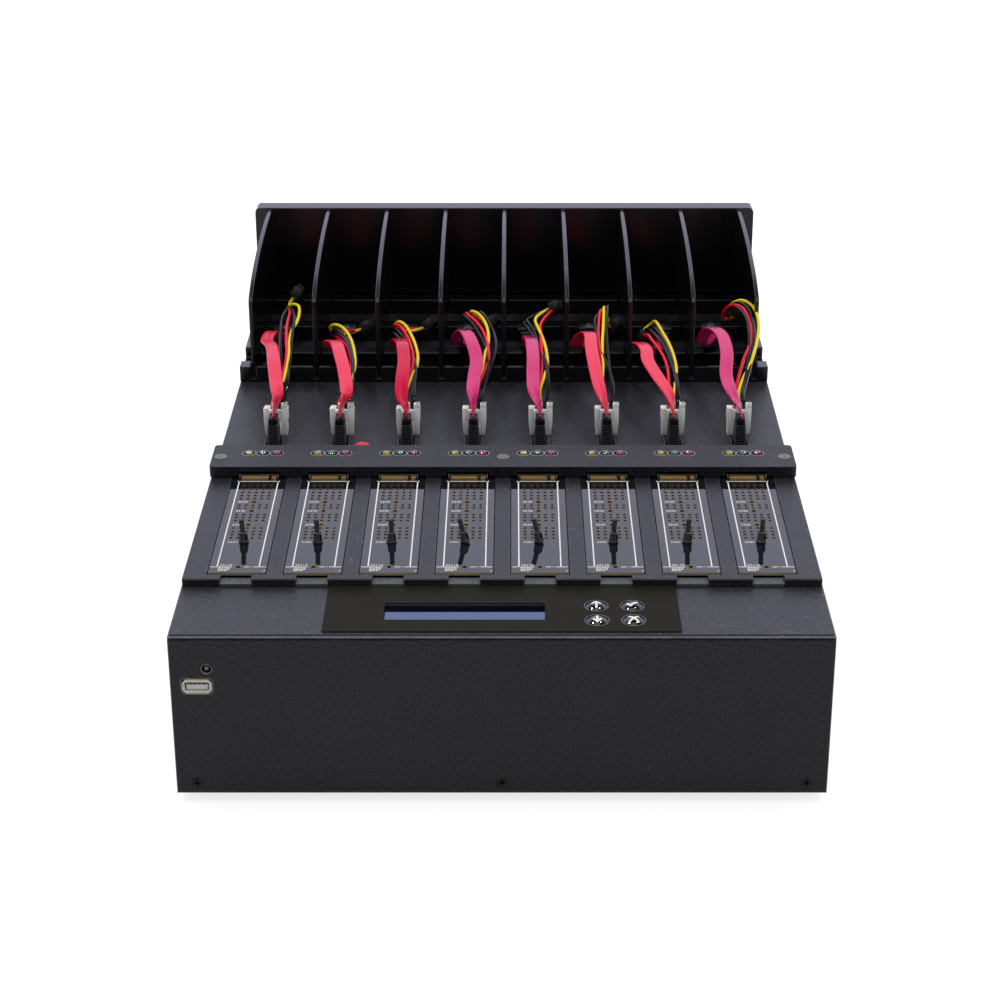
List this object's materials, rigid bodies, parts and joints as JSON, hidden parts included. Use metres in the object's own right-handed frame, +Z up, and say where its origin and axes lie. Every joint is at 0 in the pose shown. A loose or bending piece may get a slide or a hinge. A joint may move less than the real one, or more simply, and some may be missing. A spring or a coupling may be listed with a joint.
{
  "type": "nvme drive duplicator",
  "caption": "Flat black standalone duplicator: M.2 card tray with light bar and keys in front, open drive rack with red data and power leads behind.",
  "frame": {"origin": "on the floor under the middle of the machine, at the soles of the feet", "axes": "+Z up, +Y from the control panel to the drive rack, +X to the operator's right"},
  "size_m": [0.336, 0.4984, 0.167],
  "materials": {
    "case_steel": "fine black powder coat",
    "tray_steel": "fine black powder coat",
    "port_steel": "plated port shell",
    "gloss_overlay": "glossy black sheet",
    "display": "blue display glass",
    "green_board": "satin solder mask",
    "rack_plastic": "satin black",
    "supply_case": "plain grey, standing in for a mostly hollow steel box",
    "black_plastic": "satin black",
    "foot_rubber": "matte black",
    "key_plastic": "glossy domed black",
    "adapter_board": "glossy dark grey solder mask",
    "ribbon_red": "glossy red ribbon",
    "ribbon_magenta": "glossy magenta ribbon",
    "wire_bundle": "four wires with a cream housing"
  },
  "bodies": {
    "case": {"base_pan": "case_steel", "top_cover": "case_steel", "front_panel": "case_steel", "tray_plate": "tray_steel", "light_bar": "tray_steel", "usb_board": "port_steel", "control_overlay": "gloss_overlay", "display_module": "display", "control_board": "green_board", "backplane_board": "green_board", "drive_board": "green_board", "controller_board": "green_board", "rack_base": "rack_plastic", "drive_rack": "rack_plastic", "power_supply": "supply_case", "power_inlet": "black_plastic", "fan_frame": "black_plastic", "foot_front_left": "foot_rubber", "foot_front_right": "foot_rubber", "foot_rear_left": "foot_rubber", "foot_rear_right": "foot_rubber", "data_lead_1": "ribbon_red", "data_lead_2": "ribbon_red", "data_lead_3": "ribbon_red", "data_lead_4": "ribbon_magenta", "data_lead_5": "ribbon_magenta", "data_lead_6": "ribbon_red", "data_lead_7": "ribbon_red", "data_lead_8": "ribbon_magenta", "power_lead_1": "wire_bundle", "power_lead_2": "wire_bundle", "power_lead_3": "wire_bundle", "power_lead_4": "wire_bundle", "power_lead_5": "wire_bundle", "power_lead_6": "wire_bundle", "power_lead_7": "wire_bundle", "power_lead_8": "wire_bundle"},
    "key_down": {"key_down": "key_plastic"},
    "key_cancel": {"key_cancel": "key_plastic"},
    "key_up": {"key_up": "key_plastic"},
    "key_ok": {"key_ok": "key_plastic"},
    "power_rocker": {"power_rocker": "black_plastic"},
    "fan_rotor": {"fan_rotor": "black_plastic"},
    "adapter_1": {"adapter_1": "adapter_board"},
    "adapter_2": {"adapter_2": "adapter_board"},
    "adapter_3": {"adapter_3": "adapter_board"},
    "adapter_4": {"adapter_4": "adapter_board"},
    "adapter_5": {"adapter_5": "adapter_board"},
    "adapter_6": {"adapter_6": "adapter_board"},
    "adapter_7": {"adapter_7": "adapter_board"},
    "adapter_8": {"adapter_8": "adapter_board"},
    "pull_pin_1": {"pull_pin_1": "black_plastic"},
    "pull_pin_2": {"pull_pin_2": "black_plastic"},
    "pull_pin_3": {"pull_pin_3": "black_plastic"},
    "pull_pin_4": {"pull_pin_4": "black_plastic"},
    "pull_pin_5": {"pull_pin_5": "black_plastic"},
    "pull_pin_6": {"pull_pin_6": "black_plastic"},
    "pull_pin_7": {"pull_pin_7": "black_plastic"},
    "pull_pin_8": {"pull_pin_8": "black_plastic"}
  },
  "joints": [
    {"name": "key_down_press", "type": "slide", "parent": "case", "child": "key_down", "axis": [0, 0, -1], "range_m": [0, 0.0008], "stiffness_N_per_m": 400},
    {"name": "key_cancel_press", "type": "slide", "parent": "case", "child": "key_cancel", "axis": [0, 0, -1], "range_m": [0, 0.0008], "stiffness_N_per_m": 400},
    {"name": "key_up_press", "type": "slide", "parent": "case", "child": "key_up", "axis": [0, 0, -1], "range_m": [0, 0.0008], "stiffness_N_per_m": 400},
    {"name": "key_ok_press", "type": "slide", "parent": "case", "child": "key_ok", "axis": [0, 0, -1], "range_m": [0, 0.0008], "stiffness_N_per_m": 400},
    {"name": "power_rocker_tip", "type": "hinge", "parent": "case", "child": "power_rocker", "pos_m": [0.1175, 0.24558, 0.02775], "axis": [1, 0, 0], "range_deg": [0, 18]},
    {"name": "fan_spin", "type": "hinge", "parent": "case", "child": "fan_rotor", "pos_m": [-0.075, 0.23318, 0.0505], "axis": [0, 1, 0], "continuous": true},
    {"name": "adapter_1_lift", "type": "hinge", "parent": "case", "child": "adapter_1", "pos_m": [-0.13825, -0.05282, 0.1001], "axis": [-1, 0, 0], "range_deg": [0, 3.5]},
    {"name": "adapter_2_lift", "type": "hinge", "parent": "case", "child": "adapter_2", "pos_m": [-0.09875, -0.05282, 0.1001], "axis": [-1, 0, 0], "range_deg": [0, 3.5]},
    {"name": "adapter_3_lift", "type": "hinge", "parent": "case", "child": "adapter_3", "pos_m": [-0.05925, -0.05282, 0.1001], "axis": [-1, 0, 0], "range_deg": [0, 3.5]},
    {"name": "adapter_4_lift", "type": "hinge", "parent": "case", "child": "adapter_4", "pos_m": [-0.01975, -0.05282, 0.1001], "axis": [-1, 0, 0], "range_deg": [0, 3.5]},
    {"name": "adapter_5_lift", "type": "hinge", "parent": "case", "child": "adapter_5", "pos_m": [0.01975, -0.05282, 0.1001], "axis": [-1, 0, 0], "range_deg": [0, 3.5]},
    {"name": "adapter_6_lift", "type": "hinge", "parent": "case", "child": "adapter_6", "pos_m": [0.05925, -0.05282, 0.1001], "axis": [-1, 0, 0], "range_deg": [0, 3.5]},
    {"name": "adapter_7_lift", "type": "hinge", "parent": "case", "child": "adapter_7", "pos_m": [0.09875, -0.05282, 0.1001], "axis": [-1, 0, 0], "range_deg": [0, 3.5]},
    {"name": "adapter_8_lift", "type": "hinge", "parent": "case", "child": "adapter_8", "pos_m": [0.13825, -0.05282, 0.1001], "axis": [-1, 0, 0], "range_deg": [0, 3.5]},
    {"name": "pull_pin_1_pull", "type": "slide", "parent": "adapter_1", "child": "pull_pin_1", "axis": [-0.0698, 0.0522, 0.9962], "range_m": [0, 0.003]},
    {"name": "pull_pin_2_pull", "type": "slide", "parent": "adapter_2", "child": "pull_pin_2", "axis": [-0.0349, 0.0349, 0.9988], "range_m": [0, 0.003]},
    {"name": "pull_pin_3_pull", "type": "slide", "parent": "adapter_3", "child": "pull_pin_3", "axis": [0, 0.0523, 0.9986], "range_m": [0, 0.003]},
    {"name": "pull_pin_4_pull", "type": "slide", "parent": "adapter_4", "child": "pull_pin_4", "axis": [-0.2419, 0.0677, 0.9679], "range_m": [0, 0.003]},
    {"name": "pull_pin_5_pull", "type": "slide", "parent": "adapter_5", "child": "pull_pin_5", "axis": [-0.225, 0.068, 0.972], "range_m": [0, 0.003]},
    {"name": "pull_pin_6_pull", "type": "slide", "parent": "adapter_6", "child": "pull_pin_6", "axis": [0.0523, 0.0349, 0.998], "range_m": [0, 0.003]},
    {"name": "pull_pin_7_pull", "type": "slide", "parent": "adapter_7", "child": "pull_pin_7", "axis": [0.0523, 0.0523, 0.9973], "range_m": [0, 0.003]},
    {"name": "pull_pin_8_pull", "type": "slide", "parent": "adapter_8", "child": "pull_pin_8", "axis": [0.0523, 0.0697, 0.9962], "range_m": [0, 0.003]}
  ]
}
